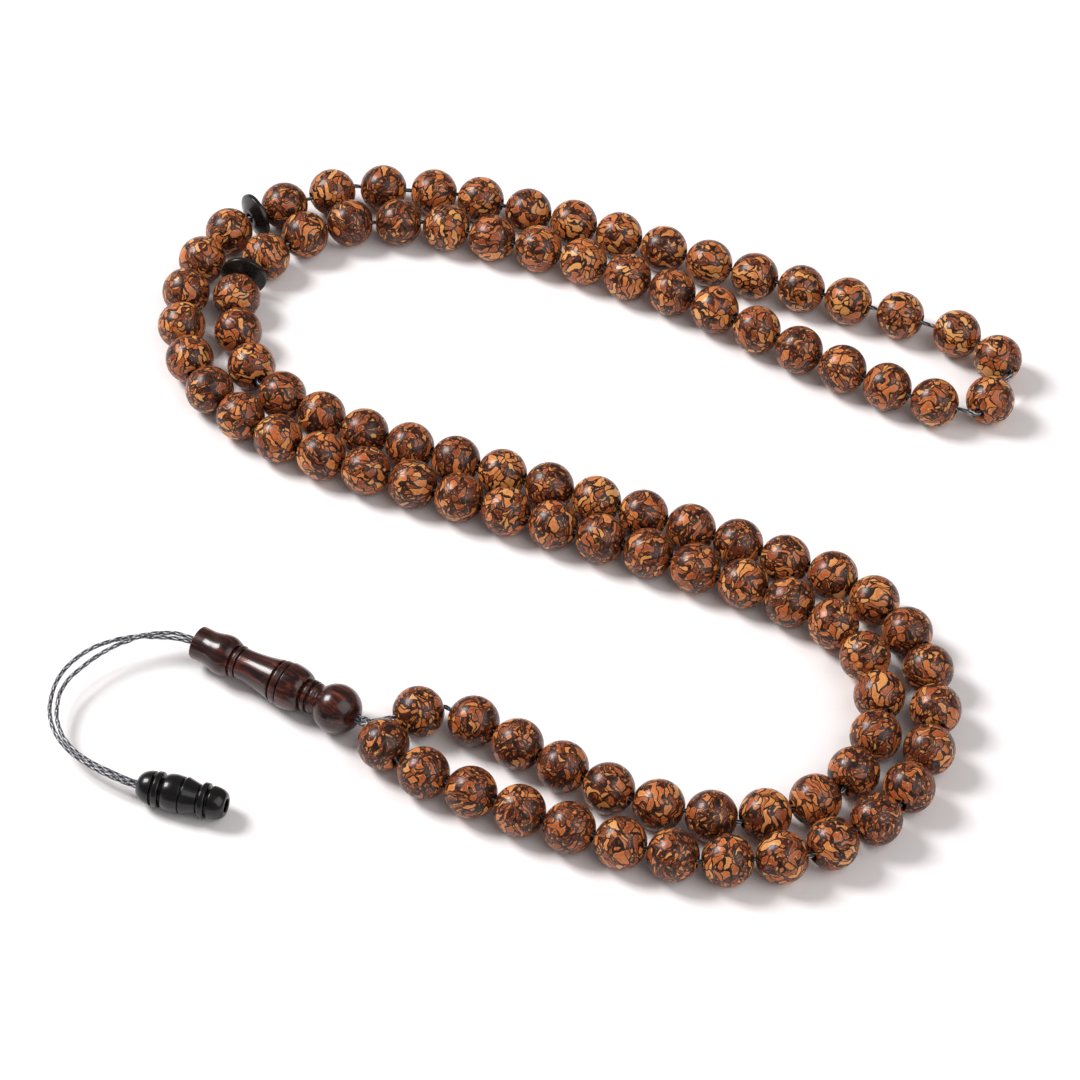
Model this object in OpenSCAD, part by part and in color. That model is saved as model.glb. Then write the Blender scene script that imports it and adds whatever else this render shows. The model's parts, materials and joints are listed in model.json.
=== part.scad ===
// Misbaha: ninety-nine prayer beads on one string, in three thirds of thirty-three that two
// separators part. The loop lies doubled, so that two strands run side by side in a double bend.
// Both strands are knotted together at the neck and go on, as a pair, through the imame. They come
// out of its mouth as the tail, which ends in a turned toggle. Millimetres, +Z up. The beads lie
// on the plane z = 0, with the origin under the middle of the laid loop.

/* [Beads] */
// Diameter of a bead
bead_d = 8; // [6:0.1:12]
// Diameter of the hole through a bead
bead_bore_d = 1.8; // [1.4:0.1:2.4]
// Depth of the countersink at each end of a bead's hole
bead_countersink = 0.25; // [0.1:0.05:0.5]
// Play between neighbouring beads in the two thirds by the neck
tight_play = 0.1; // [0.08:0.01:0.16]
// Play between neighbouring beads in the slack middle third
slack_play = 0.3; // [0.15:0.01:0.4]

/* [Separators] */
// Diameter of a separator
separator_d = 7.8; // [5:0.1:9]
// Thickness of a separator at its hub
separator_hub_w = 2.4; // [1.5:0.1:4]
// Thickness of a separator at its rim
separator_rim_w = 0.7; // [0.4:0.1:1.4]
// Diameter of the flat hub of a separator
separator_hub_d = 3.4; // [2.8:0.1:4.4]

/* [String] */
// Diameter of one strand of the string
string_d = 0.7; // [0.5:0.05:1]
// Gap between two strands that run as a pair
pair_gap = 0.04; // [0.02:0.01:0.1]
// Radial clearance of the pair of strands in a turned piece
pair_clearance = 0.08; // [0.04:0.01:0.3]
// How far a knot reaches past the rim of the hole that stops it
knot_over = 0.1; // [0.05:0.05:0.4]
// Length of the stopper knot
stopper_len = 2.2; // [1.5:0.1:3]

/* [Imame] */
// Length of the imame, from the mouth to the end of the ball
imame_len = 29.6; // [26:0.1:40]
// Diameter of the ball at the neck end
ball_d = 7.8; // [6:0.1:9]
// Diameter of the rim round the mouth
rim_d = 5.4; // [4.6:0.1:7]
// Diameter of the swelling of the collar
collar_d = 6.5; // [5:0.1:8]
// Length of the collar
collar_len = 6.8; // [5:0.1:9]
// Diameter of the stem at its narrow end
stem_thin_d = 5; // [4:0.1:6]
// Diameter of the stem at its wide end
stem_wide_d = 6.7; // [5:0.1:8]
// Diameter of the bell
bell_d = 7.4; // [6:0.1:9]
// Length of the bell
bell_len = 3.4; // [2.4:0.1:5]
// Diameter of the small rings
ring_d = 5.3; // [4.4:0.1:6]
// Width of a small ring
ring_w = 0.75; // [0.5:0.05:1.2]
// Width of a groove
groove_w = 0.36; // [0.2:0.02:0.6]
// Depth of a groove
groove_deep = 0.4; // [0.2:0.05:0.6]
// Diameter of the bore through the imame
imame_bore_d = 2.6; // [2.2:0.1:3.2]
// Length of the narrow throat at the ball's end of the bore, which stops the knot
throat_len = 3; // [2:0.1:4]
// Diameter of the flare of the bore at the mouth
flare_d = 3.8; // [3.3:0.1:4.4]
// Depth of the flare at the mouth
flare_deep = 1.2; // [0.6:0.1:2]

/* [Toggle] */
// Length of the toggle
toggle_len = 14.2; // [12:0.1:20]
// Diameter of the dome where the tail goes in
dome_d = 5.3; // [4:0.1:7]
// Diameter of the two flanges
flange_d = 5.6; // [4:0.1:7]
// Width of a flange
flange_w = 1.05; // [0.6:0.05:1.6]
// Diameter of the barrel
barrel_d = 5.9; // [4:0.1:7]
// Diameter of the rounded tip
tip_d = 5.2; // [4:0.1:7]
// Radial play of the stopper knot in the open bore of the tip
tip_bore_play = 0.2; // [0.06:0.02:0.3]
// Depth of the open bore in the tip
tip_bore_deep = 6.2; // [5:0.1:8]

/* [Layout] */
// Direction of the imame, from its mouth to its ball, from +X towards +Y
imame_angle = -31.5; // [-45:0.5:-15]
// Direction of the toggle, from the tail to the tip
toggle_angle = -17; // [-30:1:0]
// Distance from the middle of the neck to the end of the ball
neck_reach = 1.3; // [1.2:0.1:3]

/* [Hidden] */

third = 33;
route_pitch = 8.1;       // the distance between beads that the route below was laid out for
string_sides = 8;
samples = 8;             // straight pieces in each span of the route
lead_a = 5.2;            // from the neck to the middle of the first bead of strand A
lead_b = 8.3;            // from the neck to the middle of the first bead of strand B
gap_limit = 0.6;         // a longer gap between groups counts as bare string
joint_gap = 0.3;         // gap at the mouth on each side of the tail's swing axis
knot_gap = 0.15;         // gap between a knot and what it stops against
rest_gap = 0.05;         // gap between the toggle and the table
edge_round = 0.2;        // rounding of the turned edges

// The middle line between the two strands, from the neck to the far end: [x, y, distance between
// the strands]. Where the distance is under a bead's diameter, the beads of one strand sit between
// those of the other.
spine = [
    [-9, -58.5, 10.6], [2, -64, 9], [13, -67.8, 8.3], [24.5, -68.7, 8.25], [36, -64.7, 8.25],
    [44.5, -55.8, 8.3], [48.3, -43.3, 8.4], [45.9, -30.8, 8.3], [38.5, -21.5, 8.1],
    [27, -15.3, 7.7], [14, -9.4, 7.5], [0, -3.7, 7.5], [-14, 1.9, 7.5], [-28, 7.4, 7.5],
    [-41, 13, 7.7], [-51.8, 19.8, 8.4], [-59.8, 28.5, 8.3], [-63.6, 39.5, 8.3],
    [-62.6, 51, 8.5], [-57, 60.5, 8.7], [-48.5, 67, 8.5], [-38, 69.4, 8.3], [-26, 68.4, 8.25],
    [-13, 64.6, 8.25], [0, 59.6, 8.25], [13, 53.6, 8.6], [25, 47.4, 10.5], [38, 40.5, 14],
    [50, 34.5, 16.4]
];
// From the knot to the start of each side of the middle line
lead_in_a = [[-34.6, -46.3], [-32.3, -50.9], [-25.5, -56.2]];
lead_in_b = [[-34.6, -46.3], [-31, -44.2], [-26.5, -44.2], [-18.4, -46.9]];
// Round the far end, from strand A to strand B
far_end = [[56.5, 22.4], [65, 21.2], [70.2, 26], [68.6, 33], [61.4, 38.1]];

// The tail's two strands, measured from the middle of the mouth: [x, y, height of its middle]
tail_far = [
    [-3.35, 1.8, 4], [-5.35, 2, 3.95], [-7.3, 1.85, 3.95], [-9.25, 1.45, 3.9], [-11.15, 1, 4],
    [-13, 0.4, 4.1], [-15.8, -0.9, 4.15], [-18.2, -2.8, 4.1], [-20.3, -5.4, 4],
    [-21.55, -8.35, 3.9], [-22, -11.3, 3.8], [-22, -13.85, 3.8], [-21.3, -16.85, 3.8],
    [-19.9, -19.65, 3.8], [-17.95, -22, 3.7], [-15.4, -24.05, 3.55], [-12.5, -25.85, 3.4]
];
tail_near = [
    [-3.25, 0.65, 4.1], [-5.3, 0.8, 4.25], [-7.2, 0.7, 4.45], [-9.1, 0.65, 4.6], [-11, -0.2, 4.5],
    [-12.75, -0.9, 4.3], [-15.5, -2.9, 4.15], [-17.85, -5.35, 4.1], [-19.6, -7.55, 4],
    [-20.7, -10.1, 3.8], [-20.95, -12.4, 3.6], [-20.9, -14.5, 3.4], [-20.4, -16.4, 3.25],
    [-19.5, -18.5, 3.15], [-17.7, -20.9, 3.1], [-15.3, -22.95, 3.05], [-12.4, -24.7, 3]
];
tail_end = [-7.65, -27.45];

// How many neighbouring beads share a node, from the neck outwards. The single entry after each
// first third is the separator, and the last entry of strand A is the middle bead of the loop.
share_a = [1, 2, 2, 2, 2, 2, 2, 2, 2, 3, 3, 3, 2, 2, 2, 1, 1, 2, 2, 3, 3, 3, 2, 1, 1];
share_b = [1, 2, 2, 2, 2, 2, 2, 2, 3, 3, 3, 2, 2, 2, 2, 1, 1, 2, 2, 3, 3, 2, 1, 1, 1, 1];
// Bare string that shows after a bead, as [bead counted from the neck, length]. Bead 0 stands for
// the separator.
bare_a = [[0, 0.26], [1, 0.4], [30, 0.5], [31, 0.5], [32, 0.5], [49, 1.6]];
bare_b = [[1, 0.3], [33, 0.6], [34, 0.5], [35, 0.6], [36, 0.5], [38, 0.4], [46, 0.9], [47, 1.9], [48, 0.7]];

bead_r = bead_d / 2;
string_r = string_d / 2;
string_z = max(bead_d, separator_d, ball_d, bell_d, collar_d, stem_wide_d) / 2;
toggle_z = max(dome_d, flange_d, barrel_d, tip_d) / 2 + rest_gap;
pair_offset = (string_d + pair_gap) / 2;
pair_bore_r = pair_offset + string_r + pair_clearance;
knot_r = pair_bore_r + knot_over;
tip_bore_r = knot_r + tip_bore_play;
route_scale = (bead_d + tight_play) / route_pitch;

// ---- Lists and curves ----

function reverse(list) = [for (i = [len(list) - 1 : -1 : 0]) list[i]];
function total(list, n) = n <= 0 ? 0 : list[n - 1] + total(list, n - 1);
function unit(v) = v / norm(v);
function heading(angle) = [cos(angle), sin(angle)];
function left_of(v) = [-v[1], v[0]];
function at_height(p, z) = [p[0], p[1], z];

// Catmull-Rom curve through the points, as a fine polyline
function span_point(p0, p1, p2, p3, t) =
    (2 * p1 + (p2 - p0) * t + (2 * p0 - 5 * p1 + 4 * p2 - p3) * t * t
     + (3 * p1 - p0 - 3 * p2 + p3) * t * t * t) / 2;
function curve(points) =
    let (last = len(points) - 1)
    concat(
        [for (i = [0 : last - 1], k = [0 : samples - 1])
            span_point(points[max(i - 1, 0)], points[i], points[i + 1],
                       points[min(i + 2, last)], k / samples)],
        [points[last]]);

// One side of the middle line: side is 1 to the left of its direction, and -1 to the right
function strand_side(side) =
    [for (i = [0 : len(spine) - 1])
        let (before = spine[max(i - 1, 0)],
             after = spine[min(i + 1, len(spine) - 1)],
             along = unit([after[0] - before[0], after[1] - before[1]]))
        [spine[i][0], spine[i][1]] + side * spine[i][2] / 2 * left_of(along)];

// ---- Places of the beads ----

// Walks along a polyline: each step ends where the straight distance from the last stop is the
// next of the given distances. A place is [index of the polyline's piece, point].
function first_beyond(path, i, from, distance) =
    norm(path[i + 1] - from) >= distance ? i : first_beyond(path, i + 1, from, distance);
function meet(a, b, from, distance) =
    let (u = b - a, v = a - from, uv = u * v)
    a + u * (sqrt(uv * uv - (u * u) * (v * v - distance * distance)) - uv) / (u * u);
function step(path, place, distance) =
    let (i = first_beyond(path, place[0], place[1], distance))
    [i, meet(path[i], path[i + 1], place[1], distance)];
function walk(path, distances) =
    [for (i = 0, place = step(path, [0, path[0]], distances[0]);
          i < len(distances);
          i = i + 1, place = i < len(distances) ? step(path, place, distances[i]) : place)
        place[1]];

// Half the length along the string of element i of a strand, where element 33 is the separator
function half_length(i) = i == third ? separator_hub_w / 2 : bead_r;
function bare_after(bare, i) =
    let (bead = i == third ? 0 : i < third ? i + 1 : i,
         found = [for (b = bare) if (b[0] == bead) b[1]])
    len(found) > 0 ? found[0] : 0;
function play_after(i) = i < third ? tight_play : slack_play;
function strand_steps(lead, bare, count) =
    concat([max(lead * route_scale, knot_r + knot_gap + bead_r)],
           [for (i = [0 : count - 2])
               half_length(i) + half_length(i + 1) + play_after(i) + bare_after(bare, i)]);

loop_points = concat(lead_in_a, strand_side(-1), far_end, reverse(strand_side(1)),
                     reverse(lead_in_b)) * route_scale;
loop_path = curve(loop_points);
count_a = total(share_a, len(share_a));
count_b = total(share_b, len(share_b));
walk_a = walk(loop_path, strand_steps(lead_a, bare_a, count_a));
walk_b = walk(reverse(loop_path), strand_steps(lead_b, bare_b, count_b));

// The whole loop in one list, from the neck round to the neck
walked = concat(walk_a, reverse(walk_b));
shares = concat(share_a, reverse(share_b));
halves = concat([for (i = [0 : count_a - 1]) half_length(i)],
                reverse([for (i = [0 : count_b - 1]) half_length(i)]));
neck_at = loop_path[0];
first_of = [for (g = [0 : len(shares) - 1]) total(shares, g)];
last_of = [for (g = [0 : len(shares) - 1]) total(shares, g + 1) - 1];

// The straight line that each group is strung on, before its ends meet its neighbours'. A single
// bead takes the direction of its two neighbours, and the bead next to the neck that of the neck.
function group_along(g) =
    g == 0 ? unit(walked[0] - neck_at)
    : g == len(shares) - 1 ? unit(neck_at - walked[first_of[g]])
    : shares[g] > 1 ? unit(walked[last_of[g]] - walked[first_of[g]])
    : unit(walked[last_of[g] + 1] - walked[first_of[g] - 1]);
function way_in(g) = walked[first_of[g]] - group_along(g) * (halves[first_of[g]] + slack_play / 2);
function way_out(g) = walked[last_of[g]] + group_along(g) * (halves[last_of[g]] + slack_play / 2);

// The string bends only between groups. Where bare string shows, it bends at the far side of the
// gap, so that a bead has a straight way along it.
function bend_between(g) =
    norm(way_in(g + 1) - way_out(g)) > gap_limit ? way_in(g + 1)
                                                 : (way_in(g + 1) + way_out(g)) / 2;
string_start = neck_at + unit(walked[0] - neck_at) * (knot_r + knot_gap);
string_finish = neck_at + unit(walked[len(walked) - 1] - neck_at) * (knot_r + knot_gap);
bends = concat([string_start], [for (g = [0 : len(shares) - 2]) bend_between(g)],
               [string_finish]);

// Each bead's middle, moved square on to the straight string that it is threaded on
function group_axis(g) = unit(bends[g + 1] - bends[g]);
function centre(g, i) = bends[g] + group_axis(g) * ((walked[i] - bends[g]) * group_axis(g));
function group_centres(g) = [for (i = [first_of[g] : last_of[g]]) centre(g, i)];

// The origin is put under the middle of the beads' own box
all_centres = [for (g = [0 : len(shares) - 1], c = group_centres(g)) c];
function middle_of(axis) =
    (min([for (c = all_centres) c[axis]]) + max([for (c = all_centres) c[axis]])) / 2;
layout_shift = [-middle_of(0), -middle_of(1), 0];

// ---- Names ----

function two_digits(n) = n < 10 ? str("0", n) : str(n);
// Number of a bead from the neck, for element i of its strand
function bead_number(i) = i > third ? i : i + 1;
function group_name(g) =
    let (on_a = g < len(share_a),
         strand = on_a ? "a" : "b",
         low = on_a ? first_of[g] : len(walked) - 1 - last_of[g],
         high = on_a ? last_of[g] : len(walked) - 1 - first_of[g])
    low == third ? str("separator_", strand)
    : on_a && high == count_a - 1 ? "bead_middle"
    : low == high ? str("bead_", strand, two_digits(bead_number(low)))
    : str("beads_", strand, two_digits(bead_number(low)), "_", strand,
          two_digits(bead_number(high)));

// ---- Placing ----

module laid() {
    translate(layout_shift) children();
}

// Puts a piece made along +Z at a point, pointing along a level direction
module along_level(point, angle) {
    translate(point) rotate([0, 90, angle]) children();
}

// ---- Turned outlines, as [radius, distance along the axis] ----

function groove(z, r) =
    [[r, z], [r - groove_deep, z + groove_w / 4], [r - groove_deep, z + groove_w * 3 / 4],
     [r, z + groove_w]];
function ring(z, r, w) =
    [[r - edge_round, z], [r, z + edge_round], [r, z + w - edge_round], [r - edge_round, z + w]];
// A swelling that rises slowly from base to top and falls faster
function swelling(z, length, base, top) =
    [for (t = [0 : 0.1 : 1]) [base + (top - base) * sin(180 * pow(t, 1.6)), z + t * length]];
// A quarter-round shoulder that falls from top to base
function shoulder(z, length, top, base) =
    [for (a = [0 : 11.25 : 90]) [base + (top - base) * cos(a), z + sin(a) * length]];
// The same, rising from base to top
function rising(z, length, base, top) =
    [for (a = [0 : 11.25 : 90]) [base + (top - base) * sin(a), z + (1 - cos(a)) * length]];

rim_len = 1.7;
root_r = ring_d / 2 - groove_deep;
stem_start = collar_len + 2 * groove_w + ring_w;
band_w = 1.1;
rings_len = 3 * groove_w + 2 * ring_w;
ball_r = ball_d / 2;
ball_neck = sqrt(ball_r * ball_r - root_r * root_r);
rings_start = imame_len - ball_r - ball_neck - rings_len;
bell_start = rings_start - bell_len;
stem_len = bell_start - 2 * groove_w - band_w - stem_start;
stem_flare = 1.8;

imame_outline = concat(
    [[0, 0], [rim_d / 2 - edge_round, 0], [rim_d / 2, edge_round]],
    swelling(rim_len, collar_len - rim_len, rim_d / 2, collar_d / 2),
    groove(collar_len, ring_d / 2),
    ring(collar_len + groove_w, ring_d / 2, ring_w),
    groove(collar_len + groove_w + ring_w, stem_thin_d / 2),
    [for (t = [0.05 : 0.1 : 0.95])
        [stem_thin_d / 2 + (stem_wide_d - stem_thin_d) / 2 * pow(t, stem_flare),
         stem_start + t * stem_len]],
    groove(stem_start + stem_len, stem_wide_d / 2),
    ring(stem_start + stem_len + groove_w, (stem_wide_d + bell_d) / 4, band_w),
    groove(bell_start - groove_w, bell_d / 2 - edge_round),
    shoulder(bell_start, bell_len, bell_d / 2, ring_d / 2),
    groove(rings_start, ring_d / 2),
    ring(rings_start + groove_w, ring_d / 2, ring_w),
    groove(rings_start + groove_w + ring_w, ring_d / 2),
    ring(rings_start + 2 * groove_w + ring_w, ring_d / 2 - edge_round / 2, ring_w),
    [for (k = [0 : 14])
        let (start = atan2(-ball_neck, root_r), a = start + (90 - start) * k / 14)
        [ball_r * cos(a), imame_len - ball_r + ball_r * sin(a)]]);

dome_len = 2.5;
seat_r = barrel_d / 2 - 1;
tip_len = 2.6;
flange_1 = dome_len + groove_w;
barrel_start = flange_1 + flange_w + groove_w;
flange_2 = toggle_len - tip_len - groove_w - flange_w;
cone_end = flange_2 - groove_w;
cone_len = (cone_end - barrel_start) * 0.42;
cone_end_d = barrel_d - 1.4;
barrel_len = cone_end - barrel_start - cone_len - groove_w;

toggle_outline = concat(
    [[0, 0]],
    rising(0, dome_len, pair_bore_r, dome_d / 2),
    [[seat_r, dome_len], [seat_r, flange_1]],
    ring(flange_1, flange_d / 2, flange_w),
    [[seat_r, flange_1 + flange_w], [seat_r, barrel_start]],
    rising(barrel_start, barrel_len / 2, barrel_d / 2 - 0.6, barrel_d / 2),
    [[barrel_d / 2 - edge_round, barrel_start + barrel_len]],
    groove(barrel_start + barrel_len, barrel_d / 2 - edge_round),
    [[barrel_d / 2, barrel_start + barrel_len + groove_w + edge_round],
     [cone_end_d / 2, cone_end], [seat_r, cone_end], [seat_r, flange_2]],
    ring(flange_2, flange_d / 2, flange_w),
    [[seat_r, flange_2 + flange_w], [seat_r, toggle_len - tip_len]],
    [[tip_d / 2 - edge_round, toggle_len - tip_len]],
    shoulder(toggle_len - tip_len + edge_round, tip_len - edge_round, tip_d / 2,
             tip_bore_r + 0.3),
    [[0, toggle_len]]);

// ---- String solids ----

// A tube swept along 3-D points, with a ring square to the route at each point
module string_tube(points) {
    last = len(points) - 1;
    rings = [for (i = [0 : last])
        let (along = unit(points[min(i + 1, last)] - points[max(i - 1, 0)]),
             across = unit(cross([0, 0, 1], along)),
             up = cross(along, across))
        for (k = [0 : string_sides - 1])
            let (a = 360 * k / string_sides)
            points[i] + string_r * (across * cos(a) + up * sin(a))];
    sides = [for (i = [0 : last - 1], k = [0 : string_sides - 1])
        let (a = i * string_sides, next = (k + 1) % string_sides)
        [a + k, a + string_sides + k, a + string_sides + next, a + next]];
    polyhedron(rings, concat(
        [[for (k = [0 : string_sides - 1]) k]],
        sides,
        [[for (k = [string_sides - 1 : -1 : 0]) last * string_sides + k]]));
}

// Two straight strands side by side along +Z
module strand_pair(length) {
    for (side = [-1, 1])
        translate([0, side * pair_offset, 0]) cylinder(r = string_r, h = length, $fn = 24);
}

imame_way = heading(imame_angle);
ball_end = neck_at - imame_way * neck_reach;
mouth_at = ball_end - imame_way * imame_len;
toggle_way = heading(toggle_angle);
toggle_at = mouth_at + [tail_end[0], tail_end[1]];
stopper_from = toggle_len - tip_bore_deep + knot_gap;
// A strand of the tail leaves the mouth, follows its route and goes down the toggle's bore
function strand_route(route, side) =
    let (out = mouth_at - imame_way * joint_gap + left_of(imame_way) * side * pair_offset,
         entry = toggle_at + left_of(toggle_way) * side * -pair_offset)
    concat(
        [at_height(out, string_z)],
        [for (p = route) at_height(mouth_at + [p[0], p[1]], p[2])],
        [at_height(entry - toggle_way * string_d, toggle_z),
         at_height(entry + toggle_way * stopper_from, toggle_z)]);

// ---- Sub-parts ----

module bead() {
    pole = sqrt(bead_r * bead_r - bead_bore_d * bead_bore_d / 4);
    difference() {
        sphere(r = bead_r, $fn = 64);
        cylinder(d = bead_bore_d, h = bead_d + 1, center = true, $fn = 32);
        for (end = [0, 180])
            rotate([end, 0, 0]) translate([0, 0, pole - bead_countersink])
                cylinder(d1 = bead_bore_d, d2 = bead_bore_d + 4 * bead_countersink,
                         h = 2 * bead_countersink, $fn = 32);
    }
}

module separator() {
    rotate_extrude($fn = 64) polygon([
        [bead_bore_d / 2, -separator_hub_w / 2], [separator_hub_d / 2, -separator_hub_w / 2],
        [separator_d / 2, -separator_rim_w / 2], [separator_d / 2, separator_rim_w / 2],
        [separator_hub_d / 2, separator_hub_w / 2], [bead_bore_d / 2, separator_hub_w / 2]
    ]);
}

module group(g) {
    axis = group_axis(g);
    for (c = group_centres(g))
        laid() along_level(at_height(c, string_z), atan2(axis[1], axis[0])) {
            if (group_name(g) == "separator_a" || group_name(g) == "separator_b")
                color("#1c1716") separator();
            else
                color(g % 2 == 0 ? "#a5652f" : "#6b3a1f") bead();
        }
}

module loop_string() {
    color("#3a3a3c") laid() string_tube([for (p = bends) at_height(p, string_z)]);
}

module neck_string() {
    color("#3a3a3c") laid()
        along_level(at_height(mouth_at + imame_way * joint_gap, string_z), imame_angle)
            strand_pair(imame_len + knot_gap - joint_gap);
}

module neck_knot() {
    knot_len = neck_reach - knot_gap;
    color("#2e2e30") laid()
        along_level(at_height(neck_at - imame_way * knot_len, string_z), imame_angle) {
            cylinder(r = knot_r, h = knot_len, $fn = 32);
            translate([0, 0, knot_len]) sphere(r = knot_r, $fn = 32);
        }
}

module imame() {
    color("#3b1a14") laid() along_level(at_height(mouth_at, string_z), imame_angle)
        difference() {
            rotate_extrude($fn = 72) polygon(imame_outline);
            translate([0, 0, -1]) cylinder(r = pair_bore_r, h = imame_len + 2, $fn = 32);
            translate([0, 0, -1])
                cylinder(d = imame_bore_d, h = imame_len - throat_len + 1, $fn = 32);
            translate([0, 0, -0.01])
                cylinder(d1 = flare_d, d2 = imame_bore_d, h = flare_deep, $fn = 32);
        }
}

module tail_far_strand() {
    color("#3a3a3c") laid() string_tube(strand_route(tail_far, 1));
}

module tail_near_strand() {
    color("#3a3a3c") laid() string_tube(strand_route(tail_near, -1));
}

module stopper_knot() {
    color("#2e2e30") laid()
        along_level(at_height(toggle_at + toggle_way * stopper_from, toggle_z), toggle_angle)
            cylinder(r = knot_r, h = stopper_len, $fn = 32);
}

module toggle() {
    color("#1a1414") laid() along_level(at_height(toggle_at, toggle_z), toggle_angle)
        difference() {
            rotate_extrude($fn = 72) polygon(toggle_outline);
            translate([0, 0, -1]) cylinder(r = pair_bore_r, h = toggle_len + 2, $fn = 32);
            translate([0, 0, toggle_len - tip_bore_deep])
                cylinder(r = tip_bore_r, h = tip_bore_deep + 1, $fn = 32);
        }
}

loop_string();
neck_string();
neck_knot();
imame();
tail_far_strand();
tail_near_strand();
stopper_knot();
toggle();
for (g = [0 : len(shares) - 1])
    group(g);
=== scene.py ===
"""Looks of a misbaha: ninety-nine pressed-wood beads on a braided string, with a turned imame
at the neck and a turned toggle at the end of the doubled tail. Metres, +Z up."""

import json
import logging
import math
import re
from dataclasses import dataclass, field
from typing import Any

import bpy
import numpy as np
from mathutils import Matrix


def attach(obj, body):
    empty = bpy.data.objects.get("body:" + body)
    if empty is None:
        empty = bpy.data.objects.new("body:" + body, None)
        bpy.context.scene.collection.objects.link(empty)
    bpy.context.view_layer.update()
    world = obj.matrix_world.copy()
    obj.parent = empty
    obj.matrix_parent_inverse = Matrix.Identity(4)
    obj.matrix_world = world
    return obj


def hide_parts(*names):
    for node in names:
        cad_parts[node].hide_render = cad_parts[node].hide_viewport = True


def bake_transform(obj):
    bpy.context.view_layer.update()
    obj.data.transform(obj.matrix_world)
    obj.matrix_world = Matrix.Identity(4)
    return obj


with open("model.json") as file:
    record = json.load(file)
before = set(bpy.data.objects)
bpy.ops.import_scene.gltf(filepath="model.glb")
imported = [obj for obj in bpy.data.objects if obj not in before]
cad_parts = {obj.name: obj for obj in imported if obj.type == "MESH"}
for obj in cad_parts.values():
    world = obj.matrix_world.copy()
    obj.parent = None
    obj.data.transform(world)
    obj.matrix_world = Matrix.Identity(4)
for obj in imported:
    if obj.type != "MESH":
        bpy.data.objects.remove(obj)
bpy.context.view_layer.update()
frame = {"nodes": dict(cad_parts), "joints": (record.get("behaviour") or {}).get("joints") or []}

LOG = logging.getLogger("misbaha")
Array = np.ndarray
MM = 0.001
SEED = 9933
PLACE = "place_mm"  # where a point was in its own block of wood, in millimetres
TONE = "tone"  # 0 for the lightest bead, 1 for the darkest
WEAVE = "weave"  # 0 in the valleys of a braid, 1 on its crests


# ---- Surfaces ----


def grid_faces(rows: int, columns: int, wrap_rows: bool = True) -> Array:
    """Quads that join each grid point to the next in its row and in its column, round and round
    along the columns, and along the rows too where they wrap.

    Args:
        rows: Number of rings or profile points.
        columns: Number of points round each ring.
        wrap_rows: Whether the last row joins the first.

    Returns:
        Point numbers, four to a face.
    """
    row = np.arange(rows if wrap_rows else rows - 1)[:, None]
    column = np.arange(columns)[None, :]
    after_row = (row + 1) % rows
    after_column = (column + 1) % columns
    corners = [
        row * columns + column,
        row * columns + after_column,
        after_row * columns + after_column,
        after_row * columns + column,
    ]
    return np.stack(np.broadcast_arrays(*corners), axis=-1).reshape(-1, 4)


def facing_out(points: Array, faces: Array) -> Array:
    """Turns the faces over if they point inwards: the volume under a closed surface, summed as
    each face's diagonal cross product times its first corner, comes out positive when they point
    outwards.

    Args:
        points: Point places.
        faces: Point numbers, four to a face.

    Returns:
        The faces, pointing outwards.
    """
    a, b, c, d = (points[faces[:, k]] for k in range(4))
    volume = np.einsum("ij,ij->", a, np.cross(c - a, d - b))
    return faces if volume > 0 else faces[:, ::-1]


def soften(outline: Array, step: float, reach: float) -> Array:
    """Rounds the corners of a closed outline: points are laid evenly along it, and each becomes
    the bell-curve average of those within reach of it.

    Args:
        outline: Corner points, in order.
        step: Distance between the new points.
        reach: Standard deviation of the bell curve.

    Returns:
        The new points.
    """
    closed = np.vstack([outline, outline[:1]])
    lengths = np.linalg.norm(np.diff(closed, axis=0), axis=1)
    closed = closed[np.r_[True, lengths > 1e-9]]
    along = np.r_[0, np.cumsum(np.linalg.norm(np.diff(closed, axis=0), axis=1))]
    count = int(along[-1] / step)
    places = np.linspace(0, along[-1], count, endpoint=False)
    even = np.stack([np.interp(places, along, closed[:, k]) for k in range(2)], axis=1)
    apart = np.minimum(np.arange(count), count - np.arange(count)) * along[-1] / count
    bell = np.exp(-0.5 * (apart / reach) ** 2)
    kernel = np.fft.rfft(bell / bell.sum())
    return np.stack([np.fft.irfft(np.fft.rfft(even[:, k]) * kernel, count) for k in range(2)], axis=1)


def turned(outline: Array, sides: int) -> tuple[Array, Array]:
    """A surface of revolution: each outline point (radius, distance) goes round the +X axis, to
    x = distance, y = radius times the cosine and z = radius times the sine of the angle.

    Args:
        outline: Closed outline, as radius and distance along the axis.
        sides: Number of points round the axis.

    Returns:
        Points, and faces that point outwards.
    """
    angle = np.arange(sides) * 2 * np.pi / sides
    radius, along = outline[:, :1], outline[:, 1:]
    points = np.stack(
        [np.broadcast_to(along, (len(outline), sides)), radius * np.cos(angle), radius * np.sin(angle)],
        axis=-1,
    ).reshape(-1, 3)
    return points, facing_out(points, grid_faces(len(outline), sides))


def smooth_path(points: Array, step: float) -> Array:
    """A Catmull-Rom curve through the points: between two of them it is the cubic whose slope at
    each is half the vector between that point's own neighbours.

    Args:
        points: Points that the curve passes through.
        step: Rough distance between the new points.

    Returns:
        Points evenly spaced along the curve.
    """
    padded = np.vstack([2 * points[0] - points[1], points, 2 * points[-1] - points[-2]])
    t = np.linspace(0, 1, 24, endpoint=False)[None, :, None]
    p0, p1, p2, p3 = (padded[k : len(padded) - 3 + k, None, :] for k in range(4))
    curve = 0.5 * (
        2 * p1 + (p2 - p0) * t + (2 * p0 - 5 * p1 + 4 * p2 - p3) * t**2 + (3 * p1 - p0 - 3 * p2 + p3) * t**3
    )
    return even_path(np.vstack([curve.reshape(-1, 3), points[-1:]]), step)


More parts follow.
